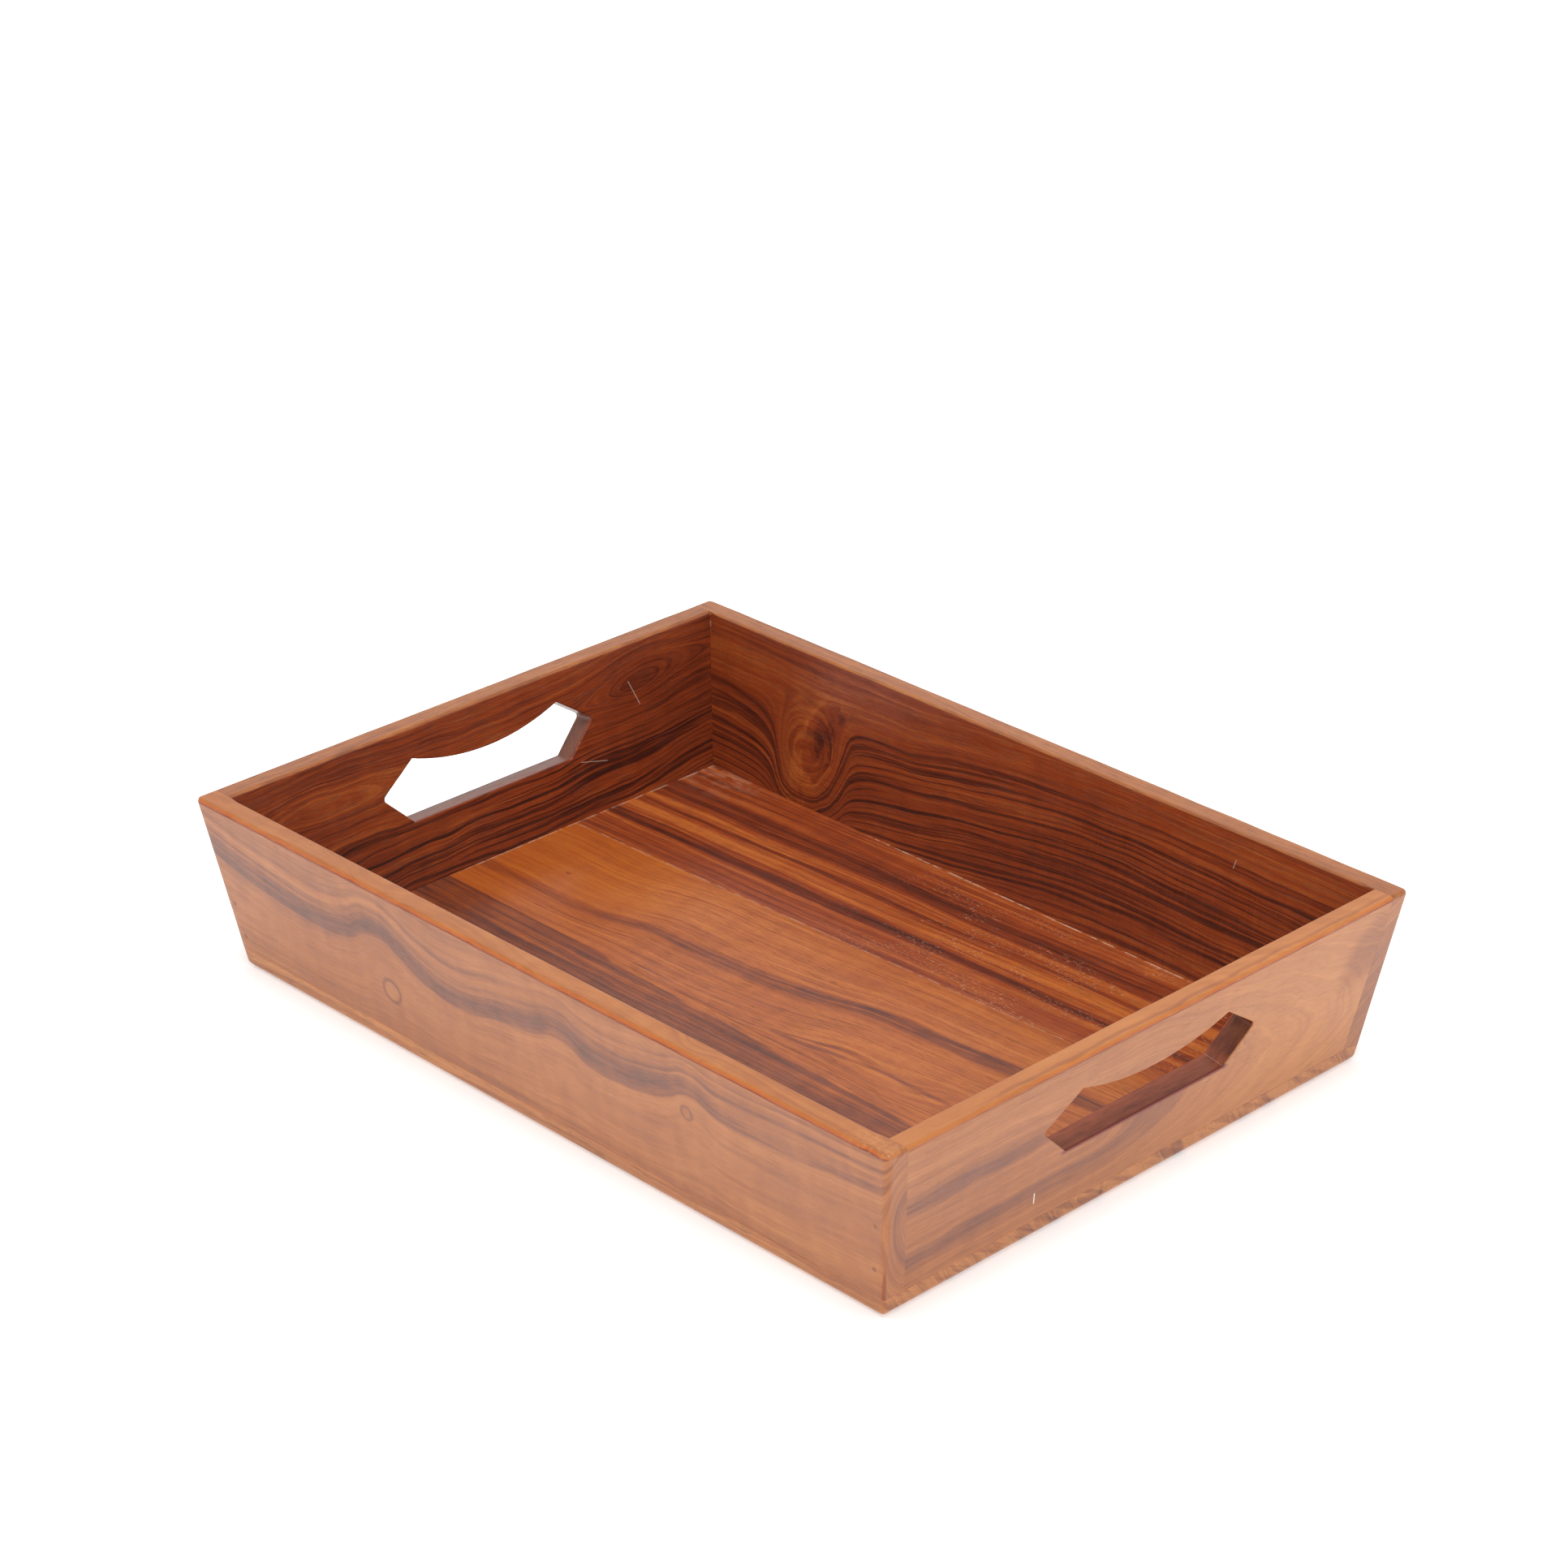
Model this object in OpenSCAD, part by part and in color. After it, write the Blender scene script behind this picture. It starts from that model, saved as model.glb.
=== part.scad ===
// Wooden serving tray with four outward-leaning boards on an edge-glued base.
// X runs along the tray, Y across it and Z up. The origin is the middle of the underside.

/* [Tray] */
// Outside length over the rim, up to its unrounded arris
rim_l = 380; // [300:1:480]
// Outside width over the rim, up to its unrounded arris
rim_w = 275; // [220:1:360]
// Height from the underside to the top of the rim
tray_h = 73.5; // [66:0.5:100]
// Lean of the two end boards away from upright
end_splay = 10; // [0:0.5:15]
// Lean of the two long boards away from upright
side_splay = 8.8; // [0:0.2:15]

/* [Boards] */
// Thickness of the two long boards and the two end boards
board_t = 9.7; // [8:0.1:12]
// Thickness of the base planks
base_t = 8; // [6:0.5:10]
// Radius of the rounded arris along the outside of the rim
rim_round = 1.8; // [0.5:0.1:3]
// Radius of the rounded lower edge of the base
foot_round = 3; // [0.5:0.5:5]

/* [Base seams] */
// Middle of the glued seam between the front and the middle plank
front_seam_y = -30; // [-60:1:-10]
// Angle of that seam to the tray's length
front_seam_skew = 0; // [-1:0.1:3]
// Middle of the glued seam between the middle and the back plank
back_seam_y = 45; // [10:1:60]
// Angle of that seam to the tray's length, left by planing the planks by eye
back_seam_skew = 2.1; // [-1:0.1:3]

/* [Hand holes] */
// Width of each hand hole at its widest
hole_w = 112; // [95:1:130]
// Width of its straight lower edge
hole_low_w = 84; // [70:1:94]
// Width between its two upper corners
hole_top_w = 77; // [60:1:90]
// Height of its lower edge above the underside, along the board
hole_z = 34.7; // [24:0.1:36]
// Height from its lower edge up to its widest part
hole_flare_h = 13.8; // [10:0.1:16]
// Height from its lower edge up to its upper corners
hole_h = 26; // [22:0.1:28]
// Drop of the bowed grip below the upper corners
grip_drop = 6.8; // [3:0.1:10]

/* [Brads] */
// Diameter of a brad's shank
brad_d = 1.3; // [1:0.1:1.6]
// Diameter of a brad's head
head_d = 2.2; // [1.8:0.1:2.6]
// Length of a corner brad
corner_brad_l = 24; // [18:1:28]
// Length of a base brad
base_brad_l = 22; // [16:1:25]
// Depth that every head is punched below the wood
punch = 1.2; // [0.8:0.1:1.6]
// Number of base brads under each long board
side_brads = 4; // [2:1:6]
// Number of base brads under each end board
end_brads = 3; // [2:1:5]

/* [Hidden] */

foot_l = rim_l - 2 * tray_h * tan(end_splay);
foot_w = rim_w - 2 * tray_h * tan(side_splay);
// Level thickness of a leaning board
end_level_t = board_t / cos(end_splay);
side_level_t = board_t / cos(side_splay);
head_h = 0.8;
// Brads at the left and the right corners sit at different heights
left_brad_z = [14.5, 29];
right_brad_z = [20.5, 40.5];
// A cutting block reaches this far past what it cuts
past = 20;
long = rim_l + 2 * past;
wood_end = "#7e3a22";
wood_side = "#b5744f";
wood_base = "#a2542f";

// Half of the outside size at height z
function half_l(z) = foot_l / 2 + z * tan(end_splay);
function half_w(z) = foot_w / 2 + z * tan(side_splay);

// Outlines whose corners are arcs: one radius for each corner, 0 for a sharp one
function unit(v) = v / norm(v);
function corner(a, p, b, r, steps) =
    r == 0 ? [p] :
    let (
        u = unit(a - p),
        v = unit(b - p),
        half = acos(u * v) / 2,
        centre = p + unit(u + v) * r / sin(half),
        from = p + u * r / tan(half) - centre,
        to = p + v * r / tan(half) - centre,
        start = atan2(from.y, from.x),
        turn = atan2(from.x * to.y - from.y * to.x, from * to)
    )
    [for (i = [0:steps]) centre + r * [cos(start + turn * i / steps), sin(start + turn * i / steps)]];
function soften(points, radii, steps = 8) =
    let (n = len(points))
    [for (i = [0:n - 1])
        each corner(points[(i + n - 1) % n], points[i], points[(i + 1) % n], radii[i], steps)];

// Children are drawn in level and upright coordinates, then run out along X or along Y
module along_x(length) {
    rotate([90, 0, 90]) linear_extrude(length, center = true) children();
}
module along_y(length) {
    rotate([90, 0, 0]) linear_extrude(length, center = true) children();
}

// A leaning board in section, on the positive side
module board_section(foot, splay, level_t) {
    low = foot / 2 + base_t * tan(splay);
    high = foot / 2 + tray_h * tan(splay);
    polygon(soften(
        [[low - level_t, base_t], [low, base_t], [high, tray_h], [high - level_t, tray_h]],
        [0, 0, rim_round, 0]
    ));
}

// The whole tray in section from z_low to z_high, inset on each side
module tray_section(foot, splay, z_low, z_high, inset, low_round, high_round) {
    low = foot / 2 + z_low * tan(splay) - inset;
    high = foot / 2 + z_high * tan(splay) - inset;
    polygon(soften(
        [[-low, z_low], [low, z_low], [high, z_high], [-high, z_high]],
        [low_round, low_round, high_round, high_round]
    ));
}

// Puts a brad, its hole or its filler at each corner joint. The child points along +Z into the wood.
module at_corner_brads() {
    for (x_side = [-1, 1], y_side = [-1, 1], i = [0, 1]) {
        z = (x_side < 0 ? left_brad_z : right_brad_z)[i];
        translate([x_side * (half_l(z) - end_level_t / 2), y_side * half_w(z), z])
            rotate([y_side * (90 - side_splay), 0, 0])
                children();
    }
}

// The same for the brads driven up through the base, in line with the boards above
module at_base_brads() {
    for (y_side = [-1, 1], i = [0:side_brads - 1]) {
        x = (i / (side_brads - 1) - 0.5) * (foot_l - 70);
        translate([x, y_side * (half_w(0) - side_level_t / 2), 0])
            rotate([-y_side * side_splay, 0, 0])
                children();
    }
    for (x_side = [-1, 1], i = [0:end_brads - 1]) {
        y = (i / (end_brads - 1) - 0.5) * (foot_w - 70);
        translate([x_side * (half_l(0) - end_level_t / 2), y, 0])
            rotate([0, x_side * end_splay, 0])
                children();
    }
}

// One brad with its head punched below the surface, from z = punch to its point
module brad(length) {
    point_h = 2 * brad_d;
    translate([0, 0, punch]) cylinder(h = head_h, d = head_d, $fn = 24);
    translate([0, 0, punch]) cylinder(h = length - point_h, d = brad_d, $fn = 24);
    translate([0, 0, punch + length - point_h]) cylinder(h = point_h, d1 = brad_d, d2 = 0.3, $fn = 24);
}

// What one brad and its filler take out of the wood
module brad_space(length) {
    translate([0, 0, -past]) cylinder(h = past + punch + head_h, d = head_d, $fn = 24);
    brad(length);
}

// The whole base: its edges follow the lean of the boards and its lower edge is rounded
module base_blank() {
    intersection() {
        along_x(long) tray_section(foot_w, side_splay, 0, base_t, 0, foot_round, 0);
        along_y(long) tray_section(foot_l, end_splay, 0, base_t, 0, foot_round, 0);
    }
}

// Cuts one plank out of the base, between two skewed lines
module base_plank(y_low, skew_low, y_high, skew_high) {
    rise_low = tan(skew_low) * long / 2;
    rise_high = tan(skew_high) * long / 2;
    difference() {
        intersection() {
            base_blank();
            translate([0, 0, -past]) linear_extrude(base_t + 2 * past)
                polygon([
                    [-long / 2, y_low - rise_low], [long / 2, y_low + rise_low],
                    [long / 2, y_high + rise_high], [-long / 2, y_high - rise_high]
                ]);
        }
        at_base_brads() brad_space(base_brad_l);
    }
}

module base_plank_front() {
    color(wood_base) base_plank(-rim_w, 0, front_seam_y, front_seam_skew);
}

module base_plank_middle() {
    color(wood_base) base_plank(front_seam_y, front_seam_skew, back_seam_y, back_seam_skew);
}

module base_plank_back() {
    color(wood_base) base_plank(back_seam_y, back_seam_skew, rim_w, 0);
}

// A long board: full length, so that its end grain shows at both ends of the tray
module long_board(y_side) {
    difference() {
        intersection() {
            along_x(long) scale([y_side, 1]) board_section(foot_w, side_splay, side_level_t);
            along_y(long) tray_section(foot_l, end_splay, base_t, tray_h, 0, 0, rim_round);
        }
        at_corner_brads() brad_space(corner_brad_l);
        at_base_brads() brad_space(base_brad_l);
    }
}

module side_front() {
    color(wood_side) long_board(-1);
}

module side_back() {
    color(wood_side) long_board(1);
}

// The hand hole: a straight lower edge, sides that flare out and back in, and a bowed grip above
module hand_hole_outline() {
    rise = 3;
    lean = (hole_w - hole_top_w) / 2 / (hole_h - hole_flare_h);
    top = hole_top_w / 2 - rise * lean;
    bow_r = (pow(hole_top_w / 2, 2) + pow(grip_drop, 2)) / (2 * grip_drop);
    difference() {
        polygon(soften(
            [
                [-hole_low_w / 2, 0], [hole_low_w / 2, 0], [hole_w / 2, hole_flare_h],
                [top, hole_h + rise], [-top, hole_h + rise], [-hole_w / 2, hole_flare_h]
            ],
            [0.8, 0.8, 1.6, 0, 0, 1.6]
        ));
        translate([0, hole_h - grip_drop + bow_r]) circle(r = bow_r, $fn = 180);
    }
}

// An end board: held between the two long boards, with its hand hole cut square through it
module end_board(x_side) {
    difference() {
        intersection() {
            along_y(long) scale([x_side, 1]) board_section(foot_l, end_splay, end_level_t);
            along_x(long) tray_section(foot_w, side_splay, base_t, tray_h, side_level_t, 0, 0);
        }
        translate([x_side * (half_l(0) - end_level_t / 2), 0, 0])
            rotate([0, x_side * end_splay, 0])
                translate([0, 0, hole_z])
                    along_x(3 * board_t) hand_hole_outline();
        at_corner_brads() brad_space(corner_brad_l);
        at_base_brads() brad_space(base_brad_l);
    }
}

module end_left() {
    color(wood_end) end_board(-1);
}

module end_right() {
    color(wood_end) end_board(1);
}

// Brads through the long boards into the ends of the end boards
module corner_brads() {
    color("silver") at_corner_brads() brad(corner_brad_l);
}

// Brads up through the base into all four boards
module base_brads() {
    color("silver") at_base_brads() brad(base_brad_l);
}

// Filler flush with the wood over each punched head
module corner_filler() {
    color("sienna") at_corner_brads() cylinder(h = punch, d = head_d, $fn = 24);
}

// The base brads lean, so their filler is cut off level with the underside
module base_filler() {
    color("sienna") difference() {
        at_base_brads() translate([0, 0, -1]) cylinder(h = punch + 1, d = head_d, $fn = 24);
        translate([-rim_l / 2, -rim_w / 2, -past]) cube([rim_l, rim_w, past]);
    }
}

base_plank_front();
base_plank_middle();
base_plank_back();
side_front();
side_back();
end_left();
end_right();
corner_brads();
base_brads();
corner_filler();
base_filler();
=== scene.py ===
# %% [markdown]
# # A wooden serving tray
# Four boards lean outwards from a base of three planks. The tray was sawn, nailed, glued, sanded
# by hand and sprayed with a satin lacquer, so it has no fittings to hide behind: edges, joints and
# the figure of the wood are all there is to look at. Each board is rebuilt here with softened,
# slightly uneven edges, and each gets its own solid wood, which runs through from face to end grain.

# %% Load the frame
import math
from collections import namedtuple

import bmesh
import bpy
from mathutils import Matrix, Vector, noise


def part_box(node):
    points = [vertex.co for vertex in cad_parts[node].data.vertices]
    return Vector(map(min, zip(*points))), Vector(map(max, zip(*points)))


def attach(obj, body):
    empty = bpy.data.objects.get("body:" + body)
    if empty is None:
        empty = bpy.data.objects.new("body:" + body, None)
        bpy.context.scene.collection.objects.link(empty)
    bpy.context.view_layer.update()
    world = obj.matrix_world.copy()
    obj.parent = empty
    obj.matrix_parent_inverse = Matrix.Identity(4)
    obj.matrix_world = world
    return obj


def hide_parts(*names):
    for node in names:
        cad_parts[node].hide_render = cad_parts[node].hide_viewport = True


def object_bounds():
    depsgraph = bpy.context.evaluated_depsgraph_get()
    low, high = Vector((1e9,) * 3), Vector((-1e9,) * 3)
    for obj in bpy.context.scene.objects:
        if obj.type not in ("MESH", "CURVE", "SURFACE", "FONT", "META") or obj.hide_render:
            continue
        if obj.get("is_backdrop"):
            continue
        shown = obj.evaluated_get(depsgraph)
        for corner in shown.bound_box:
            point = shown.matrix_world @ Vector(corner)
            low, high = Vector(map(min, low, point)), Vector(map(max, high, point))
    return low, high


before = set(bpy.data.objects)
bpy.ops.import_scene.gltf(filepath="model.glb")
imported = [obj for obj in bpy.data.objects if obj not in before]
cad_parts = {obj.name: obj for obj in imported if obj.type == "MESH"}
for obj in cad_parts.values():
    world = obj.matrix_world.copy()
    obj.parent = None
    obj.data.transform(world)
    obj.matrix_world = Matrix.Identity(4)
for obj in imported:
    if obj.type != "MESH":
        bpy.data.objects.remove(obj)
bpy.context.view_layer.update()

MM = 0.001
scene = bpy.context.scene
scene.view_settings.view_transform = "Standard"

# %% [markdown]
# ## Measuring the frame
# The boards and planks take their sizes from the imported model. Each is bounded by flat sides, so
# the script sorts a node's polygons into planes and keeps the largest one that looks in a given
# direction. A plane is enough to say where a leaning face is at any height, which is what the
# boards below need.

# %% Find a board's flat sides
LOOKS_ALONG = 0.9
SAME_WAY = 0.99995
SAME_PLANE = 0.03 * MM


def flat_side(node, direction):
    """(normal, distance from the origin) of a CAD node's largest flat side that looks that way."""
    planes = []
    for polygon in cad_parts[node].data.polygons:
        if polygon.normal.dot(direction) < LOOKS_ALONG:
            continue
        distance = polygon.normal.dot(polygon.center)
        for plane in planes:
            level = abs(plane[1] - distance) < SAME_PLANE
            if level and plane[0].dot(polygon.normal) > SAME_WAY:
                plane[2] += polygon.area
                break
        else:
            planes.append([polygon.normal.copy(), distance, polygon.area])
    normal, distance, _ = max(planes, key=lambda plane: plane[2])
    return normal, distance


def crossing(node, direction):
    """A function of height: where that flat side crosses the level axis that it looks along."""
    normal, distance = flat_side(node, Vector(direction))
    axis = 0 if direction[0] else 1
    return lambda z: (distance - normal.z * z) / normal[axis]


side_out = crossing("side_back", (0, 1, 0))
side_in = crossing("side_back", (0, -1, 0))
end_out = crossing("end_right", (1, 0, 0))
end_in = crossing("end_right", (-1, 0, 0))

BASE_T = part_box("side_back")[0].z
RIM_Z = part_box("side_back")[1].z
SIDE_LEAN = math.atan(side_in(1) - side_in(0))
END_LEAN = math.atan(end_in(1) - end_in(0))
BOARD_T = (end_out(0) - end_in(0)) * math.cos(END_LEAN)
print(f"base {BASE_T / MM:.2f}, rim {RIM_Z / MM:.2f}, board {BOARD_T / MM:.2f} mm thick")
print(f"sides lean {math.degrees(SIDE_LEAN):.1f}, ends lean {math.degrees(END_LEAN):.1f} degrees")

# %% [markdown]
# The plank seams are read in the same way. They are upright planes, very nearly across Y, and one
# of them is a little skewed because the plank was planed by eye.

# %% Find the seams between the planks
def seam(node):
    """A function of x: where the back edge of that plank is."""
    normal, distance = flat_side(node, Vector((0, 1, 0)))
    return lambda x: (distance - normal.x * x) / normal.y


front_seam = seam("base_plank_front")
back_seam = seam("base_plank_middle")
print("seams at x = 0:", round(front_seam(0) / MM, 1), round(back_seam(0) / MM, 1), "mm")

# %% [markdown]
# ## The camera
# The camera comes early, so that each later step can be judged from the same place. It stands well
# back with a long lens, above the near corner and a little to the right of it, which keeps the rim's
# far edges almost parallel. Depth of field and lens shift stay off.

# %% Stand the camera in front of the near corner
CAMERA_AZIMUTH = math.radians(46.25)
CAMERA_ELEVATION = math.radians(26.03)
CAMERA_ROLL = math.radians(-0.40)
CAMERA_DISTANCE = 1.7883
LENS = 95.35
AIM = Vector((-145.6, 137.7, 0)) * MM

level = math.cos(CAMERA_ELEVATION)
backward = Vector((
    math.sin(CAMERA_AZIMUTH) * level,
    -math.cos(CAMERA_AZIMUTH) * level,
    math.sin(CAMERA_ELEVATION),
))
sideways = Vector((math.cos(CAMERA_AZIMUTH), math.sin(CAMERA_AZIMUTH), 0))
upward = backward.cross(sideways)
right = sideways * math.cos(CAMERA_ROLL) + upward * math.sin(CAMERA_ROLL)
up = upward * math.cos(CAMERA_ROLL) - sideways * math.sin(CAMERA_ROLL)

camera_data = bpy.data.cameras.new("camera")
camera_data.sensor_width = 36
camera_data.lens = LENS
camera = bpy.data.objects.new("camera", camera_data)
scene.collection.objects.link(camera)
axes = Matrix((right, up, backward)).transposed().to_4x4()
camera.matrix_world = Matrix.Translation(AIM + backward * CAMERA_DISTANCE) @ axes
scene.camera = camera
print("camera at", [round(v, 3) for v in camera.location])

# %% [markdown]
# ## Outlines with soft corners
# A sanded edge is a small arc. The same helper turns the corners of any flat outline into arcs, and
# it always gives a corner the same number of points, so that one outline can be joined to the next.

# %% Round the corners of an outline
def corner_arc(before, corner, after, radius, steps):
    """Points of the arc that replaces one corner, from one tangent point to the other."""
    a = (before - corner).normalized()
    b = (after - corner).normalized()
    half = a.angle(b) / 2
    centre = corner + (a + b).normalized() * radius / math.sin(half)
    start = corner + a * radius / math.tan(half) - centre
    end = corner + b * radius / math.tan(half) - centre
    turn = start.angle_signed(end)
    points = []
    for i in range(steps + 1):
        angle = -turn * i / steps
        points.append(centre + Vector((
            start.x * math.cos(angle) - start.y * math.sin(angle),
            start.x * math.sin(angle) + start.y * math.cos(angle),
        )))
    return points


def soften(corners, radii, steps=6):
    """The outline with each corner rounded to its own radius."""
    count = len(corners)
    outline = []
    for i, radius in enumerate(radii):
        outline += corner_arc(corners[i - 1], corners[i], corners[(i + 1) % count], radius, steps)
    return outline


def uneven(place, seed, size=22.0):
    """Noise from -1 to 1 along a length in metres: hand sanding never takes off the same amount.

    The size of its waves is in millimetres, and each seed reads another line through the noise.
    """
    return noise.noise(Vector((place / MM / size, seed * 7.3, seed * 1.7)))


# %% [markdown]
# ## From rings of points to a piece
# All the pieces are lofts: closed rings of points, each joined to the next by four-sided faces.
# Quads that follow the edges keep the arcs clean, and a weighted-normal modifier keeps the big flat
# faces flat in the reflections.

# %% Join rings into a solid
def join_rings(shape, rings, closed_tube=False):
    """A skin through the rings. Its two ends are capped unless it closes on itself."""
    verts = [[shape.verts.new(point) for point in ring] for ring in rings]
    count = len(rings[0])
    pairs = list(zip(verts, verts[1:]))
    if closed_tube:
        pairs.append((verts[-1], verts[0]))
    for one, two in pairs:
        for i in range(count):
            j = (i + 1) % count
            shape.faces.new((one[i], one[j], two[j], two[i]))
    if not closed_tube:
        shape.faces.new(verts[0])
        shape.faces.new(verts[-1])


def smooth(piece, sharp_from=40):
    """Smooth shading with crisp joints, and normals weighted by area so flat faces stay flat."""
    mesh = piece.data
    mesh.polygons.foreach_set("use_smooth", [True] * len(mesh.polygons))
    mesh.set_sharp_from_angle(angle=math.radians(sharp_from))
    weighted = piece.modifiers.new("flat faces stay flat", "WEIGHTED_NORMAL")
    weighted.keep_sharp = True


def make_piece(name, shape, node):
    """Turns a finished shape into a piece that rides with the tray and stands for a CAD node."""
    mesh = bpy.data.meshes.new(name)
    bmesh.ops.recalc_face_normals(shape, faces=shape.faces[:])
    shape.to_mesh(mesh)
    shape.free()
    piece = bpy.data.objects.new(name, mesh)
    scene.collection.objects.link(piece)
    smooth(piece)
    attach(piece, "root")
    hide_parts(node)
    print(f"{name}: {len(mesh.polygons)} faces")
    return piece


def loft(name, rings, node, closed_tube=False):
    """One piece whose skin runs through the rings."""
    shape = bmesh.new()
    join_rings(shape, rings, closed_tube)
    return make_piece(name, shape, node)


# %% [markdown]
# ## The long boards
# A long board is one section of wood, pulled along the tray. It has a well-rounded outer arris at
# the rim, where hands and dishes rub, and a lighter one inside. At each end the section shrinks
# through a quarter circle before it is capped with end grain, which rounds the tray's upright
# corners too, more so near the rim. The arris's radius wanders a little along its length. Above an
# end board there is no inner arris: the two rims were sanded flush there.

# %% Sizes of the softened edges
RIM_ROUND = 1.9 * MM
RIM_INNER_ROUND = 1.2 * MM
CORNER_ROUND = 1.1 * MM
CORNER_RIM_ROUND = 3.0 * MM
JOINT_ROUND = 0.06 * MM
LEAST_ROUND = 0.5 * MM
FOOT_ROUND = 3.0 * MM
WEAR = 0.2


def round_off(radius, back):
    """How far a quarter circle of that radius has still to go, at a distance back from the edge."""
    if back >= radius:
        return 0
    return radius - math.sqrt(radius**2 - (radius - back) ** 2)


def stations(depth, length, spacing=4 * MM, steps=6):
    """(side, distance back from that end) from left to right, closer together at the ends."""
    ends = [depth * (1 - math.cos(math.radians(90 * i / steps))) for i in range(steps + 1)]
    count = int((length - 2 * depth) / spacing)
    middle = [depth + (length - 2 * depth) * i / count for i in range(1, count)]
    left = [(-1, back) for back in ends + [b for b in middle if b < length / 2]]
    return left + [(1, back) for _, back in reversed(left)]


def station_x(x_side, back, z):
    """Where a section crosses height z. The sections lean with the nearer end."""
    return x_side * end_out(z) * (1 - back / end_out(RIM_Z))


# %% Pull the section along a long board
def long_board(name, y_side, seed):
    """The front board for a y_side of -1, the back one for 1."""
    rings = []
    for x_side, back in stations(CORNER_RIM_ROUND, 2 * end_out(RIM_Z)):
        top = RIM_Z - round_off(RIM_ROUND, back)
        inset = round_off(CORNER_ROUND, back)
        top_inset = round_off(CORNER_RIM_ROUND, back)
        arris = RIM_ROUND * (1 + WEAR * uneven(x_side * back, seed)) - (RIM_Z - top)
        flush = back < end_out(RIM_Z) - end_in(RIM_Z) + 2 * MM
        inner = JOINT_ROUND if flush else RIM_INNER_ROUND
        corners = [
            Vector((side_in(BASE_T), BASE_T)),
            Vector((side_out(BASE_T) - inset, BASE_T)),
            Vector((side_out(top) - top_inset, top)),
            Vector((side_in(top), top)),
        ]
        radii = [JOINT_ROUND, JOINT_ROUND, max(arris, LEAST_ROUND), inner]
        rings.append([
            (station_x(x_side, back, p.y), y_side * p.x, p.y) for p in soften(corners, radii)
        ])
    return loft(name + "_board", rings, name)


front_board = long_board("side_front", -1, seed=1)
back_board = long_board("side_back", 1, seed=2)

# %% [markdown]
# ## The base planks
# The planks are lofted in the same way. Their outer edges carry on the lean of the boards above and
# have a well-rounded lower edge all round, so that the tray slides on a table without catching.
# Towards each end the section's underside rises through a quarter circle, which rounds the lower
# edge there as well. The seams keep a hair of rounding: that is what makes a glued seam visible.

# %% Pull three planks along the base
SEAM_ROUND = 0.14 * MM


def plank(name, low_seam=None, high_seam=None):
    """A plank between two seams. Where it has no seam it reaches the outside of the tray."""
    rings = []
    for x_side, back in stations(FOOT_ROUND, 2 * end_out(RIM_Z)):
        rise = round_off(FOOT_ROUND, back)
        inset = round_off(CORNER_ROUND, back)
        foot = max(FOOT_ROUND - rise, LEAST_ROUND)
        x = station_x(x_side, back, BASE_T)
        edges = []
        for seam_at, y_side in ((low_seam, -1), (high_seam, 1)):
            if seam_at:
                edges.append((seam_at(x), seam_at(x), SEAM_ROUND, SEAM_ROUND))
            else:
                low_y = y_side * (side_out(rise) - inset)
                high_y = y_side * (side_out(BASE_T) - inset)
                edges.append((low_y, high_y, foot, JOINT_ROUND))
        (y0, y1, r0, r1), (y2, y3, r2, r3) = edges
        corners = [
            Vector((y0, rise)), Vector((y2, rise)), Vector((y3, BASE_T)), Vector((y1, BASE_T)),
        ]
        rings.append([
            (station_x(x_side, back, p.y), p.x, p.y) for p in soften(corners, [r0, r2, r3, r1])
        ])
    return loft(name + "_plank", rings, "base_plank_" + name)


front_plank = plank("front", high_seam=front_seam)
middle_plank = plank("middle", low_seam=front_seam, high_seam=back_seam)
back_plank = plank("back", low_seam=back_seam)

# %% [markdown]
# ## The end boards
# An end board is a ring round its hand hole, so it is lofted as a closed tube. Rays from a point in
# the hole cross both the hole's outline and the board's. Each ray gives one section of the wood
# between them: out of the hole's wall, up the outer face, over the board's edge and back down the
# inner face. The hole is cut square to the board while the board's own edges are level or upright.
# Its outline is drawn again here, from the sizes that the CAD model was drawn with.

# %% The hand hole's outline
HOLE_LOW_W = 84 * MM
HOLE_W = 112 * MM
HOLE_TOP_W = 77 * MM
HOLE_Z = 34.7 * MM
HOLE_FLARE_H = 13.8 * MM
HOLE_H = 26 * MM
GRIP_DROP = 6.8 * MM
GRIP_STEPS = 24
FOOT_CORNER, FLARE_CORNER, GRIP_CORNER = 0.8 * MM, 1.6 * MM, 0.5 * MM
CORNER_STEPS = 4


def hole_outline():
    """(y, distance up the board) round the hole: straight foot, flared sides and a bowed grip."""
    half = HOLE_TOP_W / 2
    bow = (half**2 + GRIP_DROP**2) / (2 * GRIP_DROP)
    grip = []
    for i in range(1, GRIP_STEPS):
        y = half * (1 - 2 * i / GRIP_STEPS)
        grip.append(Vector((y, HOLE_H - GRIP_DROP + bow - math.sqrt(bow**2 - y**2))))
    corners = [
        Vector((-HOLE_LOW_W / 2, 0)), Vector((HOLE_LOW_W / 2, 0)),
        Vector((HOLE_W / 2, HOLE_FLARE_H)), Vector((half, HOLE_H)),
        Vector((-half, HOLE_H)), Vector((-HOLE_W / 2, HOLE_FLARE_H)),
    ]
    radii = [FOOT_CORNER, FOOT_CORNER, FLARE_CORNER, GRIP_CORNER, GRIP_CORNER, FLARE_CORNER]
    soft = soften(corners, radii, CORNER_STEPS)
    before_grip = 4 * (CORNER_STEPS + 1)
    outline = soft[:before_grip] + grip + soft[before_grip:]
    return [Vector((p.x, p.y + HOLE_Z)) for p in outline]


def board_outline():
    """(y, z) corners of an end board between the two long boards."""
    low, high = side_in(BASE_T), side_in(RIM_Z)
    return [
        Vector((-low, BASE_T)), Vector((low, BASE_T)), Vector((high, RIM_Z)), Vector((-high, RIM_Z)),
    ]


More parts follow.
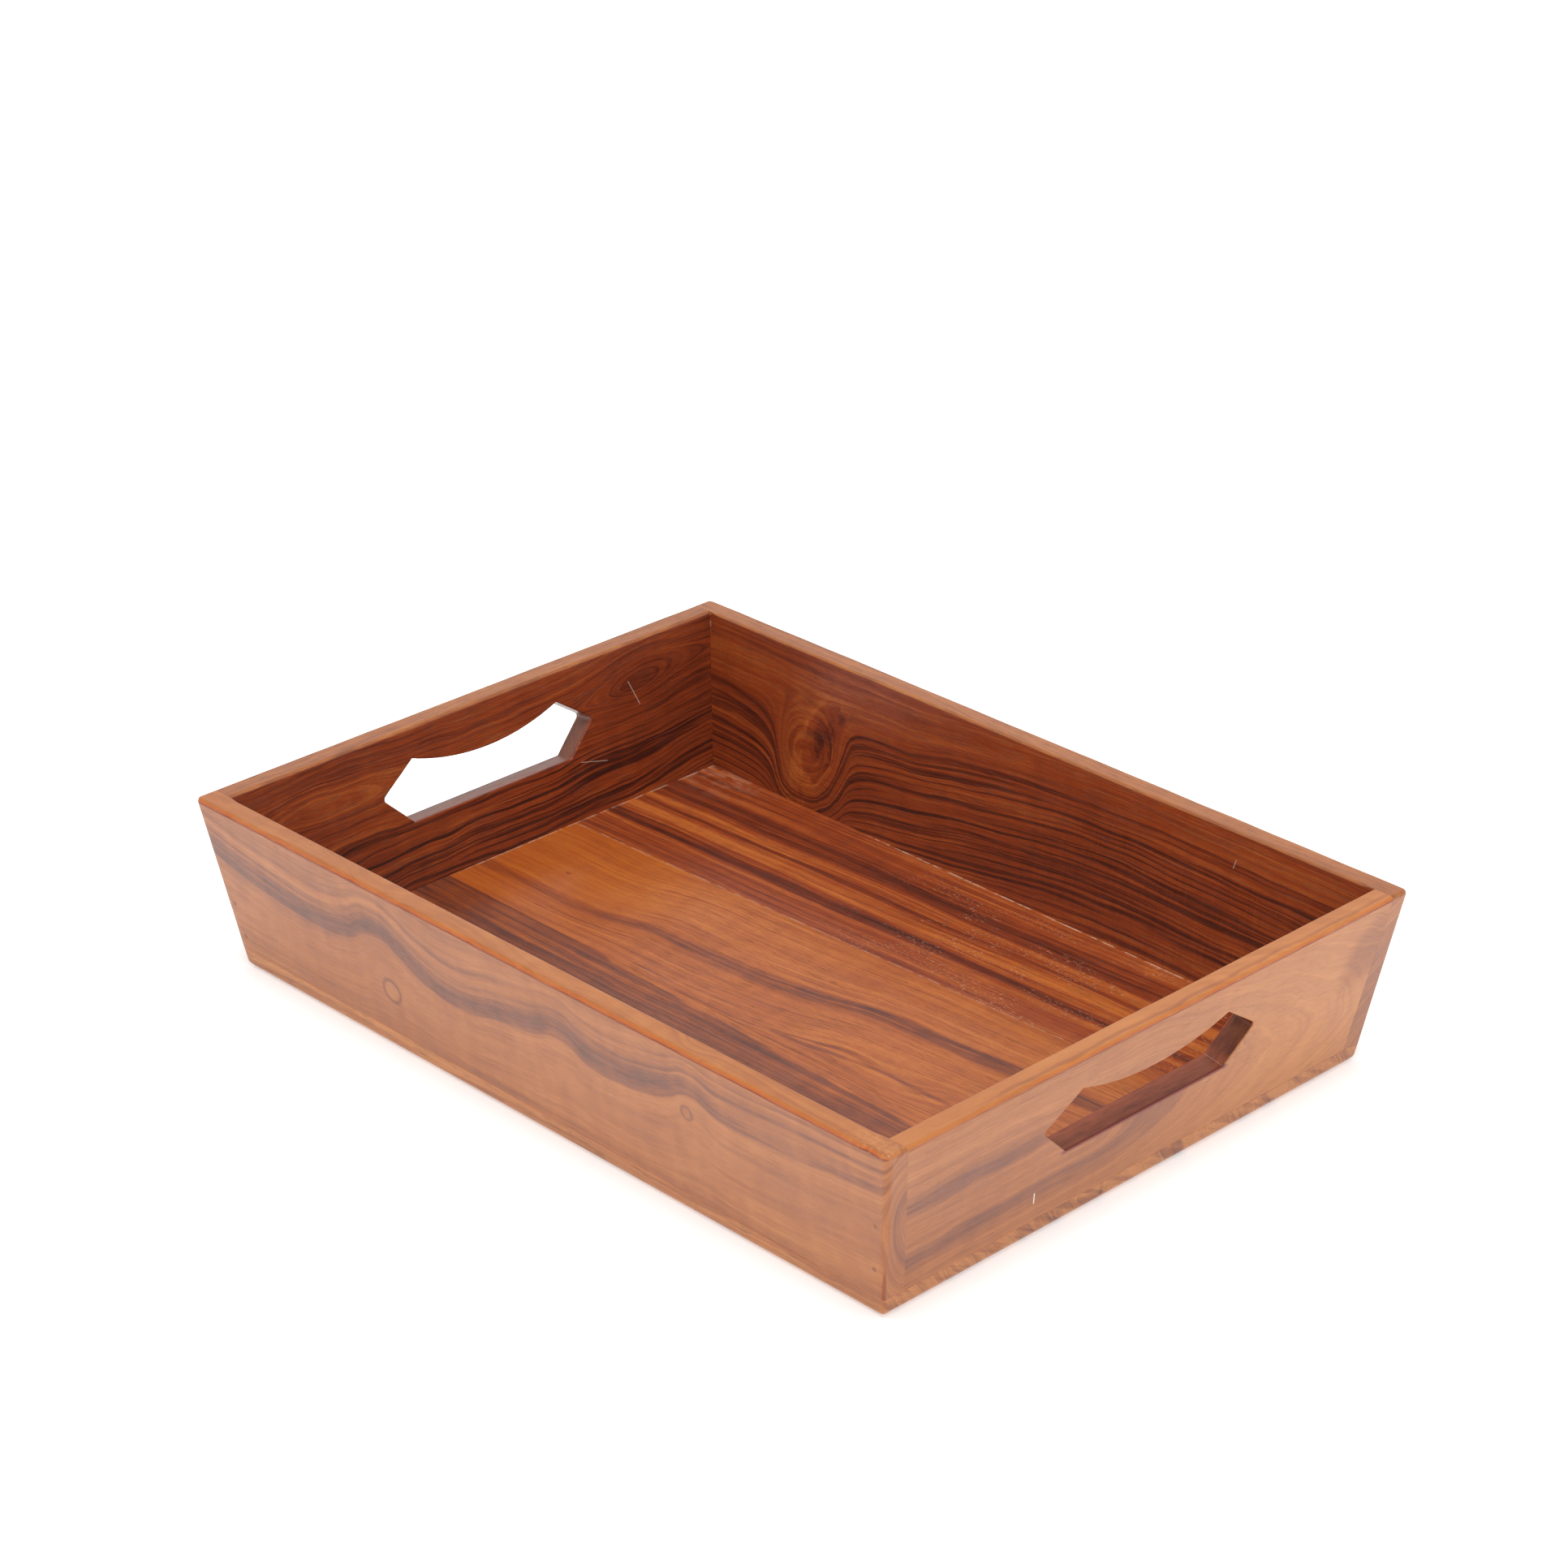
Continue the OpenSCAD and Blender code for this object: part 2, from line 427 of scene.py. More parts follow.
def cross(a, b):
    return a.x * b.y - a.y * b.x


def ray_hit(centre, heading, outline):
    """(point, inward direction) where a ray leaves a closed outline that turns anticlockwise."""
    for p, q in zip(outline, outline[1:] + outline[:1]):
        along = q - p
        spread = cross(heading, along)
        if abs(spread) < 1e-12:
            continue
        distance = cross(p - centre, along) / spread
        share = cross(p - centre, heading) / spread
        if distance > 0 and -1e-7 <= share <= 1 + 1e-7:
            return centre + heading * distance, Vector((-along.y, along.x)).normalized()
    raise ValueError("the ray misses the outline")


# %% Choose the rays
HOLE_HEART = Vector((0, HOLE_Z + 4 * MM))
RIM_RAYS = 30
FOOT_RAYS = 12
SAME_ANGLE = 1e-5


def ray_headings():
    """Directions through every corner of both outlines, and closely spaced ones for the rim."""
    board = board_outline()
    low, high = board[1], board[2]
    targets = hole_outline() + board
    for y_side in (-1, 1):
        for share in (0.25, 0.5, 0.75, 0.96):
            edge = low.lerp(high, share)
            targets.append(Vector((y_side * edge.x, edge.y)))
    targets += [Vector((high.x * i / RIM_RAYS, RIM_Z)) for i in range(1 - RIM_RAYS, RIM_RAYS)]
    targets += [Vector((low.x * i / FOOT_RAYS, BASE_T)) for i in range(1 - FOOT_RAYS, FOOT_RAYS)]
    angles = sorted(math.atan2(t.y - HOLE_HEART.y, t.x - HOLE_HEART.x) for t in targets)
    kept = [a for a, b in zip(angles, angles[1:] + [math.inf]) if b - a > SAME_ANGLE]
    return [Vector((math.cos(a), math.sin(a))) for a in kept]


def arc_shares(radius, steps=6):
    """(distance in from the edge, depth below the face) round a quarter circle, face first."""
    turns = [math.radians(90 * i / steps) for i in range(steps + 1)]
    return [(radius * (1 - math.sin(t)), radius * (1 - math.cos(t))) for t in turns]


# %% Loft the end boards round their holes
HOLE_EASE = 0.55 * MM
HOLE_WEAR = 0.35
EACH_RAY = 0.0003  # so small a size gives each ray a value of its own, as strokes of a knife would


def end_board(name, x_side, seed):
    """The left board for an x_side of -1, the right one for 1."""
    hole, board = hole_outline(), board_outline()
    middle = end_out(0) - BOARD_T / 2 / math.cos(END_LEAN)

    def by_hole(point, depth):
        """A point of the hole's outline, at a depth below the outer face."""
        out = BOARD_T / 2 - depth
        x = middle + point.y * math.sin(END_LEAN) + out * math.cos(END_LEAN)
        return (x_side * x, point.x, point.y * math.cos(END_LEAN) - out * math.sin(END_LEAN))

    def by_edge(point, depth):
        """A point of the board's outline, at a depth below the outer face."""
        y = max(-side_in(point.y), min(side_in(point.y), point.x))
        return (x_side * (end_out(point.y) - depth / math.cos(END_LEAN)), y, point.y)

    rings = []
    for heading in ray_headings():
        wall, wall_in = ray_hit(HOLE_HEART, heading, hole)
        edge, edge_in = ray_hit(HOLE_HEART, heading, board)
        at_rim = edge.y > RIM_Z - 1e-7
        if at_rim:
            edge_in = Vector((0, -1))
        wear = 1 + WEAR * uneven(edge.x, seed)
        outer_round = RIM_ROUND * wear if at_rim else JOINT_ROUND
        inner_round = RIM_INNER_ROUND * wear if at_rim else JOINT_ROUND
        ease = HOLE_EASE * (1 + HOLE_WEAR * uneven(heading.x + heading.y, seed + 9, EACH_RAY))
        outer = [(edge + edge_in * off, depth) for off, depth in arc_shares(outer_round)]
        inner = [(edge + edge_in * off, BOARD_T - depth) for off, depth in arc_shares(inner_round)]
        lip = arc_shares(ease, steps=3)
        ring = [by_hole(wall - wall_in * off, depth) for off, depth in reversed(lip)]
        ring += [by_edge(point, depth) for point, depth in outer]
        ring += [by_edge(point, depth) for point, depth in reversed(inner)]
        ring += [by_hole(wall - wall_in * off, BOARD_T - depth) for off, depth in lip]
        rings.append(ring)
    return loft(name + "_board", rings, name, closed_tube=True)


left_board = end_board("end_left", -1, seed=3)
right_board = end_board("end_right", 1, seed=4)

# %% [markdown]
# ## Filler over the brads
# The brads are punched below the surface and the holes are stopped with filler, which is sanded
# with the wood but never ends up perfectly level. Each stopping is a low dome of its own, placed
# where the CAD has its plug. The brads themselves stay as CAD nodes, hidden in the wood.

# %% Find each plug
SAME_POINT = 0.002 * MM


def islands(node):
    """The centre of each separate solid in a CAD node."""
    shape = bmesh.new()
    shape.from_mesh(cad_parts[node].data)
    bmesh.ops.remove_doubles(shape, verts=shape.verts[:], dist=SAME_POINT)
    waiting = set(shape.verts)
    centres = []
    while waiting:
        group, front = set(), [waiting.pop()]
        while front:
            vert = front.pop()
            group.add(vert)
            for edge in vert.link_edges:
                other = edge.other_vert(vert)
                if other in waiting:
                    waiting.remove(other)
                    front.append(other)
        lows = [min(v.co[i] for v in group) for i in range(3)]
        highs = [max(v.co[i] for v in group) for i in range(3)]
        centres.append((Vector(lows) + Vector(highs)) / 2)
    shape.free()
    return sorted(centres, key=lambda c: [round(v, 4) for v in c])


# %% Cover each plug with a dome
DOME_SEGMENTS = 20


def stopping(shape, centre, normal, proud):
    """One low dome of filler, centred on the face and looking out along its normal."""
    across = normal.orthogonal().normalized()
    other = normal.cross(across)
    rings = []
    # (radius, height) in millimetres: it is rooted in the wood and swells a little above the face
    for radius, height in ((1.15, -0.6), (1.15, -0.02), (0.8, 0.6 * proud), (0.35, proud)):
        turns = [math.tau * i / DOME_SEGMENTS for i in range(DOME_SEGMENTS)]
        radials = [across * math.cos(turn) + other * math.sin(turn) for turn in turns]
        rings.append([centre + (radial * radius + normal * height) * MM for radial in radials])
    join_rings(shape, rings)


def stoppings(name, node, face_of):
    """All the domes of one CAD node as one piece. They stand up to 0.09 mm proud."""
    shape = bmesh.new()
    for i, centre in enumerate(islands(node)):
        point, normal = face_of(centre)
        stopping(shape, point, normal, proud=0.05 + 0.02 * (i % 3))
    return make_piece(name, shape, node)


def on_long_board(centre):
    """The point on the outside of a long board nearest to a plug."""
    y_side = 1 if centre.y > 0 else -1
    normal = Vector((0, y_side * math.cos(SIDE_LEAN), -math.sin(SIDE_LEAN)))
    plane = normal.dot(Vector((0, y_side * side_out(0), 0)))
    return centre + normal * (plane - centre.dot(normal)), normal


def under_base(centre):
    """The point on the underside of the base nearest to a plug."""
    return Vector((centre.x, centre.y, 0)), Vector((0, 0, -1))


corner_stoppings = stoppings("corner_stoppings", "corner_filler", on_long_board)
base_stoppings = stoppings("base_stoppings", "base_filler", under_base)

# %% [markdown]
# ## Writing shader maths as Python
# A node tree for wood is mostly arithmetic. A small class stands for a socket, and its operators add
# the Math nodes, so that a formula reads as one. Everything else goes through one method that takes
# the node's type, its settings and its sockets.

# %% A socket that can be added, scaled and compared
class Value:
    """One output socket of a node tree."""

    def __init__(self, nodes, socket):
        self.nodes = nodes
        self.socket = socket

    def maths(self, operation, *values):
        return self.nodes.node("Math", {"operation": operation}, dict(enumerate(values)))

    def __add__(self, other):
        return self.maths("ADD", self, other)

    def __radd__(self, other):
        return self.maths("ADD", other, self)

    def __sub__(self, other):
        return self.maths("SUBTRACT", self, other)

    def __rsub__(self, other):
        return self.maths("SUBTRACT", other, self)

    def __mul__(self, other):
        return self.maths("MULTIPLY", self, other)

    def __rmul__(self, other):
        return self.maths("MULTIPLY", other, self)

    def __truediv__(self, other):
        return self.maths("DIVIDE", self, other)

    def __abs__(self):
        return self.maths("ABSOLUTE", self)

    def root(self):
        return self.maths("SQRT", self)

    def step(self, start, end, low=0.0, high=1.0):
        """A smooth step from low to high as the value goes from start to end."""
        return self.nodes.node(
            "MapRange",
            {"interpolation_type": "SMOOTHSTEP"},
            {"Value": self, "From Min": start, "From Max": end, "To Min": low, "To Max": high},
        )

    def fade(self, start, end):
        """A smooth step down from 1 to 0."""
        return self.step(start, end, 1.0, 0.0)

    def bump_at(self, centre, width):
        """A smooth hill of height 1 over the value's centre."""
        away = (self - centre) / width
        return self.maths("EXPONENT", away * away * -1)

    def limit(self, low=0.0, high=1.0):
        return self.nodes.node("Clamp", {}, {"Value": self, "Min": low, "Max": high})


# %% One method that adds any other node
class Nodes:
    """A node tree under construction."""

    def __init__(self, tree):
        self.tree = tree

    def node(self, kind, settings=None, sockets=None, output=0):
        """Adds a node: its settings first, then what its sockets hold or are linked to."""
        node = self.tree.nodes.new("ShaderNode" + kind)
        for name, value in (settings or {}).items():
            if name == "stops":
                self.set_stops(node.color_ramp, value)
            elif name == "curve":
                self.set_curve(node.mapping, value)
            else:
                setattr(node, name, value)
        for name, value in (sockets or {}).items():
            self.feed(node.inputs[name], value)
        return Value(self, node.outputs[output])

    def feed(self, socket, value):
        if isinstance(value, Value):
            self.tree.links.new(value.socket, socket)
        else:
            socket.default_value = value

    @staticmethod
    def set_stops(ramp, stops):
        while len(ramp.elements) < len(stops):
            ramp.elements.new(1)
        for element, (place, colour) in zip(ramp.elements, stops):
            element.position = place
            element.color = (*colour, 1)

    @staticmethod
    def set_curve(mapping, points):
        curve = mapping.curves[0]
        while len(curve.points) < len(points):
            curve.points.new(1, 1)
        for spot, place in zip(curve.points, points):
            spot.location = place
        mapping.update()


# %% A material and the nodes that wood needs
class Finish(Nodes):
    """A material under construction."""

    def __init__(self, name):
        self.material = bpy.data.materials.new(name)
        self.material.use_nodes = True
        super().__init__(self.material.node_tree)
        self.shader = self.tree.nodes["Principled BSDF"]

    def set_all(self, sockets):
        """Sets or links sockets of the shader."""
        for name, value in sockets.items():
            self.feed(self.shader.inputs[name], value)

    def place(self):
        """Object coordinates in millimetres."""
        place = self.node("TexCoord", output="Object")
        return [self.node("SeparateXYZ", {}, {0: place}, output=i) * (1 / MM) for i in range(3)]

    def noise(self, x, y, z=0.0, detail=2.0, roughness=0.5):
        """Noise around 0, between about -1 and 1. Each coordinate is already divided by its size."""
        vector = self.node("CombineXYZ", {}, {0: x, 1: y, 2: z})
        sockets = {"Vector": vector, "Scale": 1.0, "Detail": detail, "Roughness": roughness}
        return self.node("TexNoise", {"normalize": False}, sockets)

    def ramp(self, factor, stops):
        return self.node("ValToRGB", {"stops": stops}, {"Fac": factor})

    def overlay(self, strength, below, above):
        """One colour laid over another, which is a Value. The upper one is a tuple or a Value."""
        above = above if isinstance(above, Value) else (*above, 1)
        settings = {"data_type": "RGBA", "clamp_factor": True}
        return self.node("Mix", settings, {0: strength, 6: below, 7: above}, output=2)

    def bump(self, height, distance, strength=1.0):
        sockets = {"Strength": strength, "Distance": distance, "Height": height}
        return self.node("Bump", {}, sockets)


print("shader tools are ready")

# %% [markdown]
# ## The studio
# A satin lacquer shows whatever it faces, so the light is chosen for its reflections. The outer
# faces lean down and mirror the floor, which is why a bright white floor gives them their pale haze.
# The rim and the far part of the base mirror the low part of the surroundings, which is bright too.
# Higher up it is dimmer, so the rounded edges, which mirror that, keep the deep colour of the wood.

# %% Floor, surroundings and lights
FLOOR_DROP = 0.08 * MM
WHITE = (1, 1, 1, 1)


def studio_floor():
    """Matt white paper. It lies so close under the base that the proudest stoppings touch it."""
    mesh = bpy.data.meshes.new("studio_floor")
    shape = bmesh.new()
    bmesh.ops.create_grid(shape, x_segments=8, y_segments=8, size=9)
    shape.to_mesh(mesh)
    shape.free()
    floor = bpy.data.objects.new("studio_floor", mesh)
    floor.location.z = -FLOOR_DROP
    scene.collection.objects.link(floor)
    paper = Finish("studio_floor")
    paper.set_all({
        "Base Color": (0.93, 0.93, 0.93, 1), "Roughness": 0.9, "Specular IOR Level": 0.0,
        "Emission Color": WHITE, "Emission Strength": 0.33,
    })
    mesh.materials.append(paper.material)
    floor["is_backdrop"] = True


def surroundings(low, high, turn_low, turn_high):
    """A world that is bright near the horizon and dimmer above."""
    world = bpy.data.worlds.new("studio")
    scene.world = world
    world.use_nodes = True
    sky = Nodes(world.node_tree)
    direction = sky.node("TexCoord", output="Generated")
    height = sky.node("SeparateXYZ", {}, {0: direction}, output="Z")
    background = sky.tree.nodes["Background"]
    background.inputs["Color"].default_value = WHITE
    sky.feed(background.inputs["Strength"], height.step(turn_low, turn_high, low, high))


def softbox(name, location, aim_at, size, watts):
    """A round lamp with a diffuser."""
    data = bpy.data.lights.new(name, "AREA")
    data.shape = "DISK"
    data.size = size
    data.energy = watts
    light = bpy.data.objects.new(name, data)
    light.location = location
    light.rotation_euler = (Vector(aim_at) - Vector(location)).to_track_quat("-Z", "Y").to_euler()
    scene.collection.objects.link(light)


studio_floor()
surroundings(low=0.9, high=0.42, turn_low=0.5, turn_high=0.72)
softbox("overhead", (0.15, -0.1, 2.2), (0, 0, 0), size=1.5, watts=38)
softbox("camera_side", (1.5, -2.0, 1.3), (0, 0, 0.03), size=1.2, watts=12)

# %% [markdown]
# ## Solid wood
# A flat picture of wood could be laid on each face, but its lines would break off at the edges. This
# wood is solid instead: every point of the board has a ring number, the growth ring that it lies in,
# worked out from its place in the board. Colour, pores and gloss follow from that number, so a
# streak on the face runs on over the edge and into the end grain, as it does in timber.
#
# The ring number is measured in millimetres. Knots and eyes bend it, and low-frequency noise keeps
# it from being too regular.

# %% Bend the rings
def hypotenuse(a, b):
    return (a * a + b * b).root()


def ribbon(rings, start, end, soft_start=0.6, soft_end=1.5):
    """1 between two ring numbers and 0 elsewhere, with its own softness at each side."""
    rise = rings.step(start - soft_start, start + soft_start)
    return rise * rings.fade(end - soft_end, end + soft_end)


def eye(rings, along, centre, ring, length, half_height):
    """Rings that part round an eye and close up again, with ringlets inside it."""
    height = rings - ring
    push = along.bump_at(centre, length) * half_height**2
    inside = height * height - push
    side = height.maths("SIGN", height)
    outside = inside.step(-0.5, 0.5)
    side = side * outside + (1 - outside)
    return ring + side * abs(inside).root()


def curve_along(finish, along, points, top=80.0):
    """A line through listed points: millimetres along the board against millimetres up it."""
    start, end = points[0][0], points[-1][0]
    share = (along - start) / (end - start)
    places = [((p - start) / (end - start), height / top) for p, height in points]
    return finish.node("FloatCurve", {"curve": places}, {"Factor": 1.0, "Value": share}) * top


# %% Colours
TAN = [(0.0, (0.080, 0.027, 0.018)), (0.3, (0.20, 0.058, 0.022)),
       (0.62, (0.345, 0.108, 0.026)), (1.0, (0.50, 0.190, 0.050))]
RED_BROWN = [(0.0, (0.040, 0.0075, 0.0040)), (0.3, (0.125, 0.0205, 0.0060)),
             (0.62, (0.26, 0.044, 0.0090)), (1.0, (0.45, 0.120, 0.022))]
HONEY = [(0.0, (0.075, 0.019, 0.012)), (0.3, (0.20, 0.043, 0.012)),
         (0.62, (0.37, 0.086, 0.0120)), (1.0, (0.52, 0.160, 0.024))]
PORE = (0.030, 0.008, 0.005)
# the next two colours are painted shade on the rim's rounded edge; the first also draws the dark lines
# down the corners
ARRIS = (0.20, 0.032, 0.005)
ORANGE = (0.46, 0.092, 0.008)
AMBER = (0.50, 0.155, 0.026)
RUBBED = (0.30, 0.066, 0.024)
LIP_STAIN = (0.16, 0.016, 0.009)
RICH = (0.35, 0.066, 0.006)
# a pale speckle at the near corner of the rim: part wear, part painted highlight on the lacquer
WEAR_AND_SHEEN = (0.66, 0.37, 0.16)
STAIN = (0.115, 0.020, 0.008)
# pale glue, also used for painted highlights and glints on the lacquer
GLUE_AND_SHEEN = (0.62, 0.42, 0.29)
SCRATCH = (0.80, 0.70, 0.60)


# %% From ring numbers to a finished surface
GLOSS = 0.32
GRAIN_DEPTH = 0.09 * MM
Look = namedtuple("Look", "tone broad fine hair mottle fibre pores inner", defaults=[RED_BROWN])


def grow(finish, along, across, through, rings, streaks, inside, look, seed, marks=()):
    """Adds the colour, the gloss and the grain of a board to its finish."""
    start = seed * 17.3
    broad = finish.noise(along / 240 + start, rings / 9, detail=1.0)
    fine = finish.noise(along / 130 + start, rings / 2.4, through / 90, roughness=0.6)
    hair = finish.noise(along / 42 + start, rings / 0.8, through / 25, detail=1.0)
    mottle = finish.noise(along / 8 + start, across / 26, through / 26, detail=1.0)
    fibre = finish.noise(along / 13 + start, across / 0.5, through / 0.5, roughness=0.7)
    tone = look.tone + broad * look.broad + fine * look.fine + hair * look.hair
    tone = tone + mottle * look.mottle + fibre * look.fibre - streaks
    pores = fibre.step(0.26, 0.55)
    colour = finish.overlay(inside, finish.ramp(tone, TAN), finish.ramp(tone, look.inner))
    colour = finish.overlay(pores * look.pores, colour, PORE)
    for strength, tint in marks:
        colour = finish.overlay(strength, colour, tint)

    patches = finish.noise(along / 34 + start, across / 21, through / 21)
    gloss = (GLOSS + patches * 0.05 + pores * 0.12 - tone * 0.03).limit(0.12, 0.8)
    brush = finish.noise(along / 26 + start, across / 7, through / 7)
    height = brush * 0.6 + fibre * 0.07 - pores * 0.26
    finish.set_all({
        "Base Color": colour, "Roughness": gloss, "Normal": finish.bump(height, GRAIN_DEPTH),
        "IOR": 1.48, "Coat Weight": 0.1, "Coat Roughness": 0.3,
    })


def made_of(figure):
    """A finish made by a function that is given each point's place on the tray in millimetres."""
    finish = Finish(figure.__name__)
    figure(finish, *finish.place())
    return finish


def dress(piece, finish):
    """Gives the finished material to a piece or a CAD node."""
    piece.data.materials.clear()
    piece.data.materials.append(finish.material)
    print(f"{piece.name}: {len(finish.tree.nodes)} shader nodes")


# %% [markdown]
# ## What handling and finishing leave behind, with some painted light and shade
# The well was stained once more than the outside, so the inner faces are redder and deeper than the
# rim and the outer faces. Under the rim, an orange stripe and a thin dark line are painted shade: they
# stand in for the lacquer on the rounded edge mirroring the dim surroundings, and a dark line runs down
# each upright corner. Glue squeezed from a joint dries to a pale broken line under the lacquer, and a
# few scratches show white; some pale lines and flecks are painted highlights and glints on the lacquer.
# Each of these is a mask between 0 and 1 that is laid over the wood.

# %% Places on a board, in millimetres
RIM, BASE, BOARD = RIM_Z / MM, BASE_T / MM, BOARD_T / MM
RIGHT_END = end_out(0) / MM
BACK_SIDE = side_out(0) / MM


def below_long_face(out, z):
    """Depth below a long board's outer face, at a distance out from the middle of the tray."""
    return (BACK_SIDE + z * math.tan(SIDE_LEAN) - out) * math.cos(SIDE_LEAN)


def from_end(x, z):
    """How far a point is from the nearer leaning end of the tray, measured level."""
    return RIGHT_END + z * math.tan(END_LEAN) - abs(x)


def below_end_face(x, z):
    """Depth below the outer face of an end board."""
    return from_end(x, z) * math.cos(END_LEAN)


# %% Masks for the inside, the rim and the edges
def well_face(inward, z):
    """The inner face of a board, up to just below the rim."""
    return inward.fade(0.9, 1.5) * z.fade(RIM - 1.1, RIM - 0.5)


def rim_top(z):
    """The top of the rim, which was rubbed down to a brighter amber than the faces."""
    return z.step(RIM - 1.3, RIM - 0.6)


def rim_line(finish, z, depth, along, strength=1.0):
    """Painted shade under the outer rounding of the rim: an orange stripe with a thin dark line below.

    They stand in for the lacquer on the rounded edge mirroring the dim surroundings.
    """
    wander = finish.noise(along / 11, 6.1, detail=3.0)
    skin = depth.fade(0.9, 1.5) * (0.85 + wander * 0.3) * strength
    below = RIM - z + wander * 0.35
    stripe = below.step(0.3, 0.7) * below.fade(1.5, 1.9) * skin
    line = below.step(1.1, 1.4) * below.fade(1.7, 2.1) * skin
    return [(stripe * 0.8, ORANGE), (line, ARRIS)]


def hip_line(finish, x, z, depth):
    """A dark line along an upright corner of the tray."""
    wander = finish.noise(z / 17, 3.7)
    away = from_end(x, z) + depth + wander * 0.3
    return (away.fade(0.8, 1.2) * (0.86 + wander * 0.2) * 0.85, ARRIS)


def end_grain(x, z, depth):
    """The sawn end of a long board, which drinks more stain than its face."""
    return from_end(x, z).fade(0.3, 1.2) * depth.step(0.8, 2.0)


# %% Masks for glue and scratches
def glue_and_sheen_line(finish, away, along, width, start, end, strength=0.8, seed=0.0):
    """A broken pale line beside a joint, between two places along it.

    In some joints it is dried glue, in others a painted highlight of lacquer pooled in the joint.
    """
    gaps = finish.noise(along / 9 + seed, seed, detail=3.0, roughness=0.6).step(-0.35, 0.25)
    span = along.step(start - 8, start + 8) * along.fade(end - 8, end + 8)
    return away.fade(width * 0.5, width) * gaps * span * strength


def scratch(u, v, start, end, width=0.28, strength=0.6):
    """A short straight scratch between two points of a face."""
    run = (end[0] - start[0], end[1] - start[1])
    length = math.hypot(*run)
    run = (run[0] / length, run[1] / length)
    along = (u - start[0]) * run[0] + (v - start[1]) * run[1]
    aside = abs((v - start[1]) * run[0] - (u - start[0]) * run[1])
    inside = along.step(0.0, 0.8) * along.fade(length - 0.8, length)
    return aside.fade(width * 0.4, width) * inside * strength


# %% [markdown]
# ## The front board
# This board was cut close to the heart of the tree, which lay just behind its inner face. Its
# outer face shows one bold grey-brown ribbon in slow waves, thinner streaks that follow it above,
# and plain tan wood with two small knots below.

# %% Front board
def front_board_wood(finish, x, y, z):
    depth = below_long_face(y * -1, z)
    drift = finish.noise(x / 60 + 3.1, z / 22, depth / 22)
    wave = curve_along(finish, x, [
        (-192, 52), (-150, 43), (-120, 41), (-102, 44), (-85, 51), (-72, 47), (-57, 40), (-39, 37),
        (-17, 41), (5, 45), (21, 49), (33, 44.5), (46, 43), (68, 46), (80, 50), (91, 54.5),
        (104, 50.5), (122, 50.5), (158, 53.5), (192, 57),
    ])
    share = z.step(4, 40, 0.12, 1.0) * z.step(50, 76, 1.0, 0.5)
    height = z - (wave - 50) * share + drift * 0.9
    height = eye(height, x, -80, 27.5, 6.5, 4.8)
    height = eye(height, x, 89, 29, 7.0, 4.0)
    # the heart lies 12 mm below the face and 33 mm up, and the rings are twice as tall as deep
    rings = hypotenuse(height - 33, (12 - depth) * 2)
    upper = height.step(31, 36)
    taper = x.step(60, 130, 35.6, 31.8)
    cloud = finish.noise(x / 14, rings / 2.2, detail=3.0)
    edge = 29.3 + drift * 0.4 + cloud * 0.35
    band = (rings - edge).step(-0.6, 0.6) * (rings - taper).fade(-2.6, 2.6) * upper
    near_face = depth.step(0.8, 4.0, 1.0, 0.65)
    streaks = band * (0.36 + cloud * 0.1)
    streaks += ribbon(rings, 36.8, 38.4, 0.5, 1.1) * (0.25 + cloud * 0.1) * upper
    streaks += ribbon(rings, 41.6, 43.0, 0.4, 0.9) * (0.19 + cloud * 0.1) * upper
    streaks = streaks * near_face + ribbon(rings, 12.0, 17.0, 2.0, 2.0) * 0.13
    streaks += x.bump_at(-20, 26) * z.bump_at(10.5, 1.0) * 0.16
    skin = depth.fade(2, 5)
    knot = hypotenuse(x + 80, z - 27.8)
    small_knot = hypotenuse(x - 87, z - 46)
    streaks = streaks + knot.bump_at(4.9, 0.8) * skin * 0.34 - knot.fade(3.4, 4.6) * skin * 0.05
    streaks += small_knot.bump_at(2.7, 0.7) * skin * 0.34
    swirl = hypotenuse((x - 84) / 22, (z - 27) / 10) + cloud * 0.2
    streaks += swirl.bump_at(1.0, 0.3) * x.step(70, 95, 1.0, 0.2) * 0.09 * skin
    tip = end_grain(x, z, depth) * z.bump_at(28, 22) * (0.1 + cloud * 0.12)
    streaks = streaks - rim_top(z) * 0.06 + tip
    look = Look(0.645, broad=0.1, fine=0.13, hair=0.13, mottle=0.09, fibre=0.13, pores=0.25)
    # pale speckles at the near corner of the rim, part wear and part painted highlight on the lacquer
    chips = finish.noise(x / 1.8, y / 1.6, z / 1.6, detail=3.0).step(-0.15, 0.35)
    worn = x.step(160, 182) * z.step(RIM - 2.4, RIM - 1.0) * chips
    marks = [
        (rim_top(z) * 0.2, AMBER), *rim_line(finish, z, depth, x), hip_line(finish, x, z, depth),
        (worn * 0.16, WEAR_AND_SHEEN),
    ]
    inside = well_face(BOARD - depth, z) * from_end(x, z).step(4, 6)
    grow(finish, x, z, depth, rings, streaks, inside, look, seed=1, marks=marks)


dress(front_board, made_of(front_board_wood))

# %% [markdown]
# ## The back board
# Seen from the front only its inner face shows: red-brown wood with a burl near the left end. The
# growth lines dive under the burl and sweep up again on its right, and above them the wood is plain.

